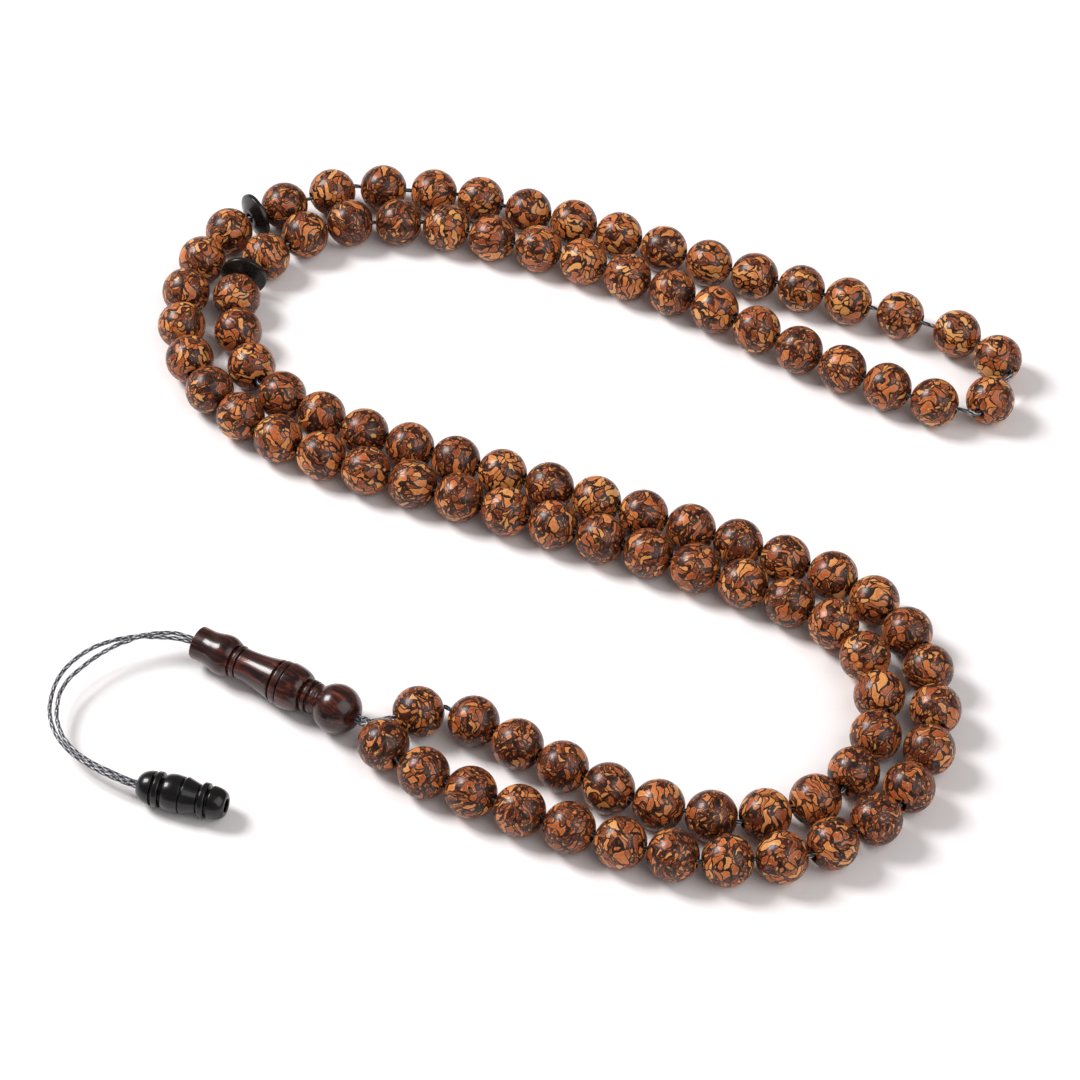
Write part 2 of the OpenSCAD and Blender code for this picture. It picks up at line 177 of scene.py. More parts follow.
def even_path(points: Array, step: float) -> Array:
    """Points at even distances along a line of straight pieces.

    Args:
        points: Corners of the line.
        step: Rough distance between the new points.

    Returns:
        The new points, first and last kept.
    """
    along = np.r_[0, np.cumsum(np.linalg.norm(np.diff(points, axis=0), axis=1))]
    places = np.linspace(0, along[-1], max(2, int(along[-1] / step) + 1))
    return np.stack([np.interp(places, along, points[:, k]) for k in range(3)], axis=1)


def path_length(points: Array) -> float:
    """Sum of the straight distances between neighbouring points."""
    return float(np.linalg.norm(np.diff(points, axis=0), axis=1).sum())


@dataclass(frozen=True)
class Braid:
    """A tubular braid: its size, and how its yarns cross. Millimetres."""

    diameter: float = 0.7
    plaits: int = 4
    lay: float = 1.9
    relief: float = 0.14
    sides: int = 24

    def tube(self, path: Array, closed: bool = False) -> tuple[Array, Array, Array]:
        """A tube carried along a path, with crossed ridges. With a the angle times the number of
        plaits plus a full turn per lay, and b the same with minus, the ridges are the absolute
        cosines of half of a and half of b. Where the cosine of the angle times the plaits is
        high, the first set lies over the second. Each ring stands square to the path, on an
        across and an up vector made from the path's direction and the vertical.

        Args:
            path: Points of the middle line, evenly spaced, in metres.
            closed: Whether the path's end joins its start.

        Returns:
            Points, faces, and the height of each point between valley and crest.
        """
        if closed:
            ahead = np.roll(path, -1, axis=0) - np.roll(path, 1, axis=0)
        else:
            ahead = np.gradient(path, axis=0)
        ahead /= np.linalg.norm(ahead, axis=1, keepdims=True)
        across = np.cross([0.0, 0.0, 1.0], ahead)
        across /= np.linalg.norm(across, axis=1, keepdims=True)
        up = np.cross(ahead, across)
        along = np.r_[0, np.cumsum(np.linalg.norm(np.diff(path, axis=0), axis=1))] / MM
        angle = np.arange(self.sides) * 2 * np.pi / self.sides
        turn = self.plaits * angle[None, :]
        twist = 2 * np.pi * along[:, None] / self.lay
        over = 0.5 + 0.5 * np.cos(turn)
        right = np.abs(np.cos((turn + twist) / 2)) * (0.65 + 0.35 * over)
        left = np.abs(np.cos((turn - twist) / 2)) * (1 - 0.35 * over)
        height = np.maximum(right, left)
        radius = self.diameter * MM / 2 * (1 - self.relief + self.relief * height)
        points = (
            path[:, None, :]
            + radius[..., None] * np.cos(angle)[None, :, None] * across[:, None, :]
            + radius[..., None] * np.sin(angle)[None, :, None] * up[:, None, :]
        ).reshape(-1, 3)
        faces = grid_faces(len(path), self.sides, wrap_rows=closed)
        height = height.reshape(-1)
        if not closed:
            points = np.vstack([points, path[:1], path[-1:]])
            height = np.r_[height, 0.0, 0.0]
            first = np.arange(self.sides)
            after = (first + 1) % self.sides
            last = (len(path) - 1) * self.sides
            hub = len(path) * self.sides
            ends = [
                np.stack([after, first, np.full_like(first, hub), np.full_like(first, hub)], axis=1),
                np.stack([first, after, after * 0 + hub + 1, after * 0 + hub + 1], axis=1)
                + np.array([last, last, 0, 0]),
            ]
            faces = np.vstack([faces, *ends])
        return points, facing_out(points, faces), height


def lay_along(points: Array, start: Array, axis: Array) -> Array:
    """Moves points from a piece's own frame, with +X along its axis, to a start point and a level
    axis in the row frame.

    Args:
        points: Points in the piece's own frame.
        start: Where the piece's origin goes.
        axis: Level direction that its +X takes.

    Returns:
        The moved points.
    """
    side = np.cross([0.0, 0.0, 1.0], axis)
    return start + points @ np.stack([axis, side, [0.0, 0.0, 1.0]])


def make_piece(
    name: str,
    points: Array,
    faces: Array,
    material: bpy.types.Material,
    attributes: dict[str, Array] | None = None,
) -> bpy.types.Object:
    """Makes a smooth mesh object at the origin. A face with a repeated last corner becomes a
    triangle.

    Args:
        name: Name of the object and its mesh.
        points: Places in the row frame, in metres.
        faces: Point numbers, four to a face.
        material: Material of every face.
        attributes: Numbers or vectors for each point, by name.

    Returns:
        The new object.
    """
    mesh = bpy.data.meshes.new(name)
    listed = [list(dict.fromkeys(face)) for face in faces.tolist()]
    mesh.from_pydata(points.tolist(), [], listed)
    mesh.polygons.foreach_set("use_smooth", np.ones(len(listed), bool))
    for key, values in (attributes or {}).items():
        vector = values.ndim == 2
        layer = mesh.attributes.new(key, "FLOAT_VECTOR" if vector else "FLOAT", "POINT")
        layer.data.foreach_set("vector" if vector else "value", values.astype(np.float32).ravel())
    mesh.materials.append(material)
    mesh.validate()
    mesh.update()
    made = bpy.data.objects.new(name, mesh)
    bpy.context.scene.collection.objects.link(made)
    LOG.info("%s: %d faces", name, len(listed))
    return made


# ---- Finishes ----


def linear(colour: str) -> tuple[float, float, float, float]:
    """Turns an sRGB hex colour to linear: the part over 0.04045 is shifted, scaled and raised to
    the power 2.4, and the rest is divided by 12.92.

    Args:
        colour: Six hex digits after a hash sign.

    Returns:
        Linear red, green, blue and an alpha of one.
    """
    channels = [int(colour[k : k + 2], 16) / 255 for k in (1, 3, 5)]
    red, green, blue = (c / 12.92 if c <= 0.04045 else ((c + 0.055) / 1.055) ** 2.4 for c in channels)
    return red, green, blue, 1.0


def add_node(
    tree: bpy.types.NodeTree,
    kind: str,
    settings: dict[str, Any] | None = None,
    inputs: dict[Any, Any] | None = None,
) -> bpy.types.Node:
    """Adds a node, sets its properties, and sets or links its inputs.

    Args:
        tree: Tree that the node goes in.
        kind: Blender's name for the node, without the word ShaderNode.
        settings: Property values by name.
        inputs: For each input, by name or number, a value or the output that feeds it.

    Returns:
        The new node.
    """
    made = tree.nodes.new("ShaderNode" + kind)
    for key, value in (settings or {}).items():
        setattr(made, key, value)
    for key, value in (inputs or {}).items():
        if isinstance(value, bpy.types.NodeSocket):
            tree.links.new(value, made.inputs[key])
        else:
            made.inputs[key].default_value = value
    return made


def math_node(tree: bpy.types.NodeTree, operation: str, *values: Any) -> bpy.types.NodeSocket:
    """The result of a Math node on the given values or outputs."""
    return add_node(tree, "Math", {"operation": operation}, dict(enumerate(values))).outputs[0]


def between(
    tree: bpy.types.NodeTree, value: Any, low: Any, high: Any, start: float = 0.0, end: float = 1.0
) -> Any:
    """A value eased from start to end as it goes from low to high, and held outside them."""
    node = add_node(
        tree,
        "MapRange",
        {"interpolation_type": "SMOOTHSTEP"},
        {"Value": value, "From Min": low, "From Max": high, "To Min": start, "To Max": end},
    )
    return node.outputs["Result"]


def blend_colours(tree: bpy.types.NodeTree, factor: Any, first: Any, second: Any, kind: str = "MIX") -> Any:
    """Two colours or outputs mixed by a factor."""
    node = add_node(tree, "Mix", {"data_type": "RGBA", "blend_type": kind}, {0: factor, 6: first, 7: second})
    return node.outputs[2]


def ramp(tree: bpy.types.NodeTree, factor: Any, stops: list[tuple[float, str]]) -> Any:
    """A colour read from a ramp of hex colours at the given stops."""
    node = add_node(tree, "ValToRGB", inputs={"Fac": factor})
    band = node.color_ramp
    while len(band.elements) < len(stops):
        band.elements.new(0.5)
    for element, (place, colour) in zip(band.elements, stops):
        element.position = place
        element.color = linear(colour)
    return node.outputs["Color"]


def new_tree(name: str) -> tuple[bpy.types.Material, bpy.types.NodeTree, bpy.types.Node]:
    """A material with only a Principled shader and its output: the material, tree and shader."""
    material = bpy.data.materials.new(name)
    material.use_nodes = True
    tree = material.node_tree
    tree.nodes.clear()
    shader = add_node(tree, "BsdfPrincipled")
    add_node(tree, "OutputMaterial", inputs={"Surface": shader.outputs["BSDF"]})
    return material, tree, shader


def attribute(tree: bpy.types.NodeTree, name: str, output: str) -> bpy.types.NodeSocket:
    """An output of a node that reads a piece's own attribute."""
    return add_node(tree, "Attribute", {"attribute_name": name}, {}).outputs[output]


def stretched(tree: bpy.types.NodeTree, vector: Any, scale: tuple[float, float, float]) -> Any:
    """A vector with each part multiplied by its own scale."""
    return add_node(tree, "VectorMath", {"operation": "MULTIPLY"}, {0: vector, 1: scale}).outputs[0]


@dataclass(frozen=True)
class PressedWood:
    """Palm-wood chips pressed with dark resin into a block, turned to beads and lacquered. Broad
    and narrow chips of tan to red-brown wood, each with its own grain and a dark outline, lie in
    a near-black filling that is full of crumbs. The lacquer gives a soft satin shine."""

    name: str = "Pressed wood chips, turned and lacquered"
    chip_mm: tuple[float, float, float] = (1.25, 3.3, 0.95)
    crumb_mm: float = 0.55
    dust_mm: float = 0.24
    grain_mm: float = 0.16
    swirl_mm: float = 2.6
    swirl_reach_mm: float = 1.7
    filling: str = "#210B06"
    filling_light: str = "#502310"
    outline: str = "#0C0403"
    cream: str = "#E6B46C"
    chips: tuple[tuple[float, str], ...] = (
        (0.0, "#5A2411"),
        (0.25, "#8C4120"),
        (0.5, "#B05B2D"),
        (0.75, "#C8763D"),
        (1.0, "#DB9C59"),
    )

    def build(self) -> bpy.types.Material:
        """Builds the material.

        Returns:
            The new material.
        """
        material, tree, shader = new_tree(self.name)
        place = attribute(tree, PLACE, "Vector")
        tone = attribute(tree, TONE, "Fac")
        swirl = add_node(
            tree, "TexNoise", inputs={"Vector": place, "Scale": 1 / self.swirl_mm, "Detail": 1.0}
        )
        shift = add_node(
            tree, "VectorMath", {"operation": "SUBTRACT"}, {0: swirl.outputs["Color"], 1: (0.5, 0.5, 0.5)}
        )
        moved = add_node(
            tree,
            "VectorMath",
            {"operation": "MULTIPLY_ADD"},
            {0: shift.outputs[0], 1: (2 * self.swirl_reach_mm,) * 3, 2: place},
        ).outputs[0]
        roughen = add_node(
            tree, "TexNoise", inputs={"Vector": place, "Scale": 2.6, "Detail": 2.0}
        ).outputs["Fac"]

        # Chips: cells longer one way than the others, each with a number of its own
        cells = stretched(tree, moved, tuple(1 / size for size in self.chip_mm))
        edge = add_node(
            tree, "TexVoronoi", {"feature": "DISTANCE_TO_EDGE"}, {"Vector": cells, "Scale": 1.0}
        ).outputs["Distance"]
        cell = add_node(tree, "TexVoronoi", inputs={"Vector": cells, "Scale": 1.0}).outputs["Color"]
        own = add_node(tree, "SeparateColor", inputs={0: cell})
        ragged = math_node(tree, "MULTIPLY_ADD", roughen, -0.24, edge)
        share = between(tree, tone, 0.0, 1.0, 0.08, 0.56)
        is_chip = math_node(tree, "GREATER_THAN", own.outputs[0], share)
        body = between(tree, ragged, -0.04, -0.015)
        chip = math_node(tree, "MULTIPLY", is_chip, body)

        # Grain along each chip, turned its own way
        turned_place = add_node(
            tree,
            "VectorRotate",
            {"rotation_type": "AXIS_ANGLE"},
            {
                "Vector": moved,
                "Axis": (0.3, 0.5, 0.8),
                "Angle": math_node(tree, "MULTIPLY", own.outputs[2], 2 * math.pi),
            },
        ).outputs[0]
        lines = stretched(tree, turned_place, (0.16 / self.grain_mm, 1 / self.grain_mm, 0.5 / self.grain_mm))
        grain = add_node(
            tree, "TexNoise", inputs={"Vector": lines, "Scale": 1.0, "Detail": 3.0}
        ).outputs["Fac"]
        light = math_node(tree, "MULTIPLY_ADD", tone, -0.35, own.outputs[1])
        light = math_node(tree, "MULTIPLY_ADD", between(tree, grain, 0.3, 0.7), 0.3, light)
        wood = ramp(tree, light, list(self.chips))
        rim = math_node(tree, "MULTIPLY", between(tree, ragged, 0.06, 0.0), between(tree, roughen, 0.5, 0.62))
        wood = blend_colours(tree, math_node(tree, "MULTIPLY", rim, 0.75), wood, linear(self.cream))

        # Filling between the chips, with crumbs and dust of the same wood
        filling = blend_colours(tree, roughen, linear(self.filling), linear(self.filling_light))
        for size, few, strength in ((self.dust_mm, 0.6, 0.55), (self.crumb_mm, 0.5, 0.95)):
            bits = stretched(tree, moved, (1 / size, 0.6 / size, 1 / size))
            bit = add_node(tree, "TexVoronoi", inputs={"Vector": bits, "Scale": 1.0})
            gap = add_node(
                tree, "TexVoronoi", {"feature": "DISTANCE_TO_EDGE"}, {"Vector": bits, "Scale": 1.0}
            ).outputs["Distance"]
            parts = add_node(tree, "SeparateColor", inputs={0: bit.outputs["Color"]})
            shown = math_node(tree, "MULTIPLY", between(tree, gap, 0.06, 0.14), strength)
            shown = math_node(tree, "MULTIPLY", shown, math_node(tree, "GREATER_THAN", parts.outputs[0], few))
            crumb = ramp(tree, parts.outputs[1], list(self.chips))
            filling = blend_colours(tree, shown, filling, crumb)
        colour = blend_colours(tree, chip, filling, wood)
        crack = math_node(tree, "MULTIPLY", between(tree, ragged, -0.01, -0.045), 0.8)
        colour = blend_colours(tree, crack, colour, linear(self.outline))

        bump = add_node(
            tree,
            "Bump",
            inputs={"Strength": 0.12, "Distance": 0.00004, "Height": math_node(tree, "ADD", chip, grain)},
        )
        tree.links.new(colour, shader.inputs["Base Color"])
        tree.links.new(between(tree, roughen, 0.3, 0.7, 0.34, 0.46), shader.inputs["Roughness"])
        tree.links.new(bump.outputs[0], shader.inputs["Normal"])
        shader.inputs["Specular IOR Level"].default_value = 0.26
        shader.inputs["Coat Weight"].default_value = 0.22
        shader.inputs["Coat Roughness"].default_value = 0.2
        return material


@dataclass(frozen=True)
class TurnedWood:
    """A dense dark hardwood, turned on a lathe and polished with lacquer. Streaks run along the
    piece, pores show as short dark dashes, and the lacquer gives a hard narrow shine."""

    name: str
    dark: str
    middle: str
    light: str
    streak_mm: float = 0.55
    streak_length_mm: float = 11.0
    pore_mm: float = 0.13
    gloss: float = 0.13
    coat: float = 0.4

    def build(self) -> bpy.types.Material:
        """Builds the material.

        Returns:
            The new material.
        """
        material, tree, shader = new_tree(self.name)
        place = attribute(tree, PLACE, "Vector")
        wave = add_node(
            tree, "TexNoise", inputs={"Vector": place, "Scale": 0.22, "Detail": 1.0}
        ).outputs["Color"]
        moved = add_node(
            tree, "VectorMath", {"operation": "MULTIPLY_ADD"}, {0: wave, 1: (1.2,) * 3, 2: place}
        )
        along = (1 / self.streak_length_mm, 1 / self.streak_mm, 1 / self.streak_mm)
        lines = stretched(tree, moved.outputs[0], along)
        streak = add_node(
            tree, "TexNoise", inputs={"Vector": lines, "Scale": 1.0, "Detail": 4.0, "Roughness": 0.6}
        )
        stops = [(0.0, self.dark), (0.43, self.dark), (0.57, self.middle), (0.75, self.light)]
        colour = ramp(tree, streak.outputs["Fac"], stops)
        pores = stretched(tree, place, (0.12 / self.pore_mm, 1 / self.pore_mm, 1 / self.pore_mm))
        pore = add_node(
            tree, "TexNoise", inputs={"Vector": pores, "Scale": 1.0, "Detail": 1.0}
        ).outputs["Fac"]
        colour = blend_colours(tree, between(tree, pore, 0.58, 0.66, 0.0, 0.7), colour, linear(self.dark))
        bump = add_node(
            tree,
            "Bump",
            inputs={
                "Strength": 0.15, "Distance": 0.00003, "Height": math_node(tree, "SUBTRACT", 1.0, pore)
            },
        )
        tree.links.new(colour, shader.inputs["Base Color"])
        tree.links.new(bump.outputs[0], shader.inputs["Normal"])
        shader.inputs["Roughness"].default_value = 0.28
        shader.inputs["Specular IOR Level"].default_value = 0.3
        shader.inputs["Coat Weight"].default_value = self.coat
        shader.inputs["Coat Roughness"].default_value = self.gloss
        return material


@dataclass(frozen=True)
class WaxedBraid:
    """Polyester yarn braided into a round cord and waxed. Dark grey yarns, with near-white dashes
    of painted glint on the crests that stand in for the lamps' shine on the wax."""

    name: str = "Polyester yarn, braided and waxed"
    valley: str = "#0F1013"
    yarn: str = "#3A3C42"
    # crest is the near-white colour of the painted glint, and fleck_mm the size of its dashes
    crest: str = "#E6E9F0"
    fleck_mm: float = 0.5

    def build(self) -> bpy.types.Material:
        """Builds the material.

        Returns:
            The new material.
        """
        material, tree, shader = new_tree(self.name)
        weave = attribute(tree, WEAVE, "Fac")
        place = add_node(tree, "TexCoord").outputs["Object"]
        glint_dashes = add_node(
            tree, "TexNoise", inputs={"Vector": place, "Scale": 1 / (self.fleck_mm * MM), "Detail": 2.0}
        ).outputs["Fac"]
        colour = blend_colours(tree, between(tree, weave, 0.45, 0.8), linear(self.valley), linear(self.yarn))
        # Painted glint: near-white is painted on the braid's crests, broken into dashes by noise, in place of
        # a highlight
        crests = between(tree, weave, 0.7, 0.97)
        painted_glint = math_node(tree, "MULTIPLY", crests, between(tree, glint_dashes, 0.38, 0.56))
        colour = blend_colours(tree, painted_glint, colour, linear(self.crest))
        tree.links.new(colour, shader.inputs["Base Color"])
        shader.inputs["Roughness"].default_value = 0.38
        shader.inputs["Sheen Weight"].default_value = 0.15
        shader.inputs["Coat Weight"].default_value = 0.25
        shader.inputs["Coat Roughness"].default_value = 0.3
        return material


@dataclass(frozen=True)
class MouldedDisc:
    """Black acrylic, moulded: an even, deep black with a polished face and faint turning lines."""

    name: str = "Acrylic, moulded"
    colour: str = "#0B0A0A"
    line_mm: float = 0.3

    def build(self) -> bpy.types.Material:
        """Builds the material.

        Returns:
            The new material.
        """
        material, tree, shader = new_tree(self.name)
        place = attribute(tree, PLACE, "Vector")
        lines = add_node(tree, "TexNoise", inputs={"Vector": place, "Scale": 1 / self.line_mm, "Detail": 2.0})
        tone = between(tree, lines.outputs["Fac"], 0.35, 0.7)
        tree.links.new(
            blend_colours(tree, tone, linear(self.colour), linear("#1C1918")), shader.inputs["Base Color"]
        )
        tree.links.new(between(tree, lines.outputs["Fac"], 0.3, 0.7, 0.2, 0.34), shader.inputs["Roughness"])
        shader.inputs["IOR"].default_value = 1.49
        return material


@dataclass(frozen=True)
class Tabletop:
    """Matt white card: an even white that takes soft shadows."""

    name: str = "Card, matt white"
    colour: str = "#F6F3F3"

    def build(self) -> bpy.types.Material:
        """Builds the material.

        Returns:
            The new material.
        """
        material, tree, shader = new_tree(self.name)
        place = add_node(tree, "TexCoord").outputs["Object"]
        fibre = add_node(
            tree, "TexNoise", inputs={"Vector": place, "Scale": 900.0, "Detail": 2.0}
        ).outputs["Fac"]
        tree.links.new(
            blend_colours(tree, fibre, linear(self.colour), linear("#F9F7F7")), shader.inputs["Base Color"]
        )
        shader.inputs["Roughness"].default_value = 0.9
        shader.inputs["Specular IOR Level"].default_value = 0.15
        return material


@dataclass
class Finishes:
    """One material of each kind, shared by the pieces."""

    bead: bpy.types.Material = field(default_factory=lambda: PressedWood().build())
    braid: bpy.types.Material = field(default_factory=lambda: WaxedBraid().build())
    disc: bpy.types.Material = field(default_factory=lambda: MouldedDisc().build())
    rosewood: bpy.types.Material = field(
        default_factory=lambda: TurnedWood(
            "Rosewood, turned and lacquered", "#140605", "#471A10", "#7E3B25"
        ).build()
    )
    ebony: bpy.types.Material = field(
        default_factory=lambda: TurnedWood(
            "Ebony, turned and polished", "#030202", "#080505", "#1C1211", gloss=0.08, coat=0.3
        ).build()
    )


# ---- The frame's joints ----


def joint(name: str) -> dict[str, Any]:
    """The record's joint of that name."""
    return next(found for found in frame["joints"] if found["name"] == name)


def joint_axis(name: str) -> Array:
    """A joint's axis, as a unit vector."""
    axis = np.array(joint(name)["axis"], float)
    return axis / np.linalg.norm(axis)


def node_points(node: str) -> Array:
    """The corner points of a CAD node's mesh, in metres."""
    mesh = frame["nodes"][node].data
    places = np.empty(len(mesh.vertices) * 3, np.float32)
    mesh.vertices.foreach_get("co", places)
    return places.reshape(-1, 3).astype(float)


# ---- Beads and separators ----


@dataclass
class Strung:
    """One or more neighbouring beads, or a separator, that share a node and turn together."""

    node: str
    spins: bool
    count: int

    @property
    def axis(self) -> Array:
        """Direction of the string through the pieces."""
        return joint_axis(self.node + ("_turn" if self.spins else "_slide"))

    def centres(self) -> Array:
        """Middles of the pieces: the node's points, measured along the axis, are cut into equal
        stretches, and each piece's middle is midway between the ends of its stretch.

        Returns:
            One point for each piece.
        """
        points = node_points(self.node)
        low, high = points.min(axis=0), points.max(axis=0)
        middle = (low + high) / 2
        along = (points - middle) @ self.axis
        cuts = np.linspace(along.min(), along.max() + 1e-9, self.count + 1)
        spans = [along[(along >= a) & (along < b)] for a, b in zip(cuts[:-1], cuts[1:])]
        places = np.array([(span.min() + span.max()) / 2 for span in spans])
        return middle + places[:, None] * self.axis

    @property
    def order(self) -> float:
        """Place along the string: strand A counts up from the neck and strand B counts down."""
        strand = 1 if "_a" in self.node else -1
        number = re.search(r"\d+", self.node)
        if "middle" in self.node:
            return 0.0
        place = 33.5 if number is None else float(number.group())
        return strand * (place - 100)


@dataclass
class BeadShape:
    """A turned bead with a drilled hole and softened lips. Millimetres."""

    diameter: float = 8.0
    hole: float = 1.8
    lip: float = 0.25
    sides: int = 48

    def outline(self) -> Array:
        """Half the bead's section: an arc of the bead's own radius from lip to lip, a short slope
        into the hole at each end, and the straight wall of the hole.

        Returns:
            Closed outline, as radius and distance along the hole.
        """
        radius = self.diameter / 2
        lip_radius = self.hole / 2 + self.lip
        end = math.acos(lip_radius / radius)
        angle = np.linspace(-end, end, 60)
        arc = np.stack([radius * np.cos(angle), radius * np.sin(angle)], axis=1)
        pole = radius * math.sin(end) - self.lip
        wall = np.array([[self.hole / 2, pole], [self.hole / 2, -pole]])
        rough = np.vstack([arc, wall])
        even = soften(rough, 0.04, 0.05)
        near_hole = even[:, 0] < lip_radius + 0.35
        keep = np.where(near_hole, np.arange(len(even)) % 3 == 0, np.arange(len(even)) % 9 == 0)
        return even[keep]


@dataclass
class BeadString:
    """All the beads and separators, in one piece for each node."""

    finishes: Finishes
    shape: BeadShape = field(default_factory=BeadShape)
    hub_mm: float = 2.4
    rim_mm: float = 0.7
    separator_mm: float = 7.8
    hub_face_mm: float = 3.4
    random: np.random.Generator = field(default_factory=lambda: np.random.default_rng(SEED))

    def groups(self) -> list[Strung]:
        """The nodes on the string, in order round the loop.

        Returns:
            One entry for each node.
        """
        found = []
        for node in frame["nodes"]:
            if not re.match(r"beads?_|separator_", node):
                continue
            numbers = [int(n) for n in re.findall(r"\d+", node)]
            count = numbers[-1] - numbers[0] + 1 if len(numbers) > 1 else 1
            spins = any(j["name"] == node + "_turn" for j in frame["joints"])
            found.append(Strung(node, spins, count))
        strand_a = sorted((g for g in found if g.order < 0), key=lambda g: g.order)
        middle = [g for g in found if g.order == 0]
        strand_b = sorted((g for g in found if g.order > 0), key=lambda g: g.order)
        return strand_a + middle + strand_b

    def bead_tone(self, group: Strung) -> float:
        """How dark a bead is: those near the neck are darker than those far from it, and each
        differs by chance.

        Args:
            group: The beads that it belongs to.

        Returns:
            From 0, light, to 1, dark.
        """
        nearness = min(abs(group.order) / 100, 1.0)
        tone = 0.12 + 0.5 * nearness + self.random.normal(0, 0.2)
        return float(np.clip(tone, 0, 1))

    def build_beads(self, group: Strung) -> bpy.types.Object:
        """Builds a group's beads as one piece. Each is cut from its own part of the block: its
        points are turned at random and moved to a random place there.

        Args:
            group: The node and its beads.

        Returns:
            The new object.
        """
        outline = self.shape.outline()
        points, faces = turned(outline, self.shape.sides)
        placed, places, tones, joined = [], [], [], []
        for number, centre in enumerate(group.centres()):
            turn, _ = np.linalg.qr(self.random.normal(size=(3, 3)))
            offset = self.random.uniform(-400, 400, 3)
            placed.append(lay_along(points * MM, centre, group.axis))
            places.append(points @ turn + offset)
            tones.append(np.full(len(points), self.bead_tone(group)))
            joined.append(faces + number * len(points))
        return make_piece(
            group.node + "_wood",
            np.vstack(placed),
            np.vstack(joined),
            self.finishes.bead,
            {PLACE: np.vstack(places), TONE: np.concatenate(tones)},
        )

    def build_separator(self, group: Strung) -> bpy.types.Object:
        """Builds a separator: a disc that thins in a straight slope from its hub to its rim.

        Args:
            group: The node.

        Returns:
            The new object.
        """
        hub, rim = self.hub_mm / 2, self.rim_mm / 2
        hole, face, edge = self.shape.hole / 2, self.hub_face_mm / 2, self.separator_mm / 2
        rough = np.array([[hole, -hub], [face, -hub], [edge, -rim], [edge, rim], [face, hub], [hole, hub]])
        points, faces = turned(soften(rough, 0.1, 0.09), 64)
        return make_piece(
            group.node + "_disc",
            lay_along(points * MM, group.centres()[0], group.axis),
            faces,
            self.finishes.disc,
            {PLACE: points},
        )

    def build(self) -> list[Strung]:
        """Builds every group.

        Returns:
            The groups, in order round the loop.
        """
        groups = self.groups()
        for group in groups:
            if group.node.startswith("separator"):
                piece = self.build_separator(group)
            else:
                piece = self.build_beads(group)
            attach(piece, group.node)
            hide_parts(group.node)
        return groups


# ---- Turned pieces ----


def groove(along: float, radius: float, width: float, depth: float) -> list[list[float]]:
    """Outline of a groove that starts at a distance along the piece, with sloping walls."""
    return [
        [radius, along],
        [radius - depth, along + width / 4],
        [radius - depth, along + width * 3 / 4],
        [radius, along + width],
    ]


def band(along: float, radius: float, width: float, edge: float = 0.2) -> list[list[float]]:
    """Outline of a raised band with broken edges."""
    end = along + width
    return [[radius - edge, along], [radius, along + edge], [radius, end - edge], [radius - edge, end]]


def quarter(along: float, length: float, start: float, end: float) -> list[list[float]]:
    """Outline of a quarter-round: the radius goes from start to end, by the sine of the angle
    where it rises and by the cosine where it falls."""
    angle = np.linspace(0, np.pi / 2, 12)
    if end > start:
        radius = start + (end - start) * np.sin(angle)
        place = along + (1 - np.cos(angle)) * length
    else:
        radius = end + (start - end) * np.cos(angle)
        place = along + np.sin(angle) * length
    return np.stack([radius, place], axis=1).tolist()


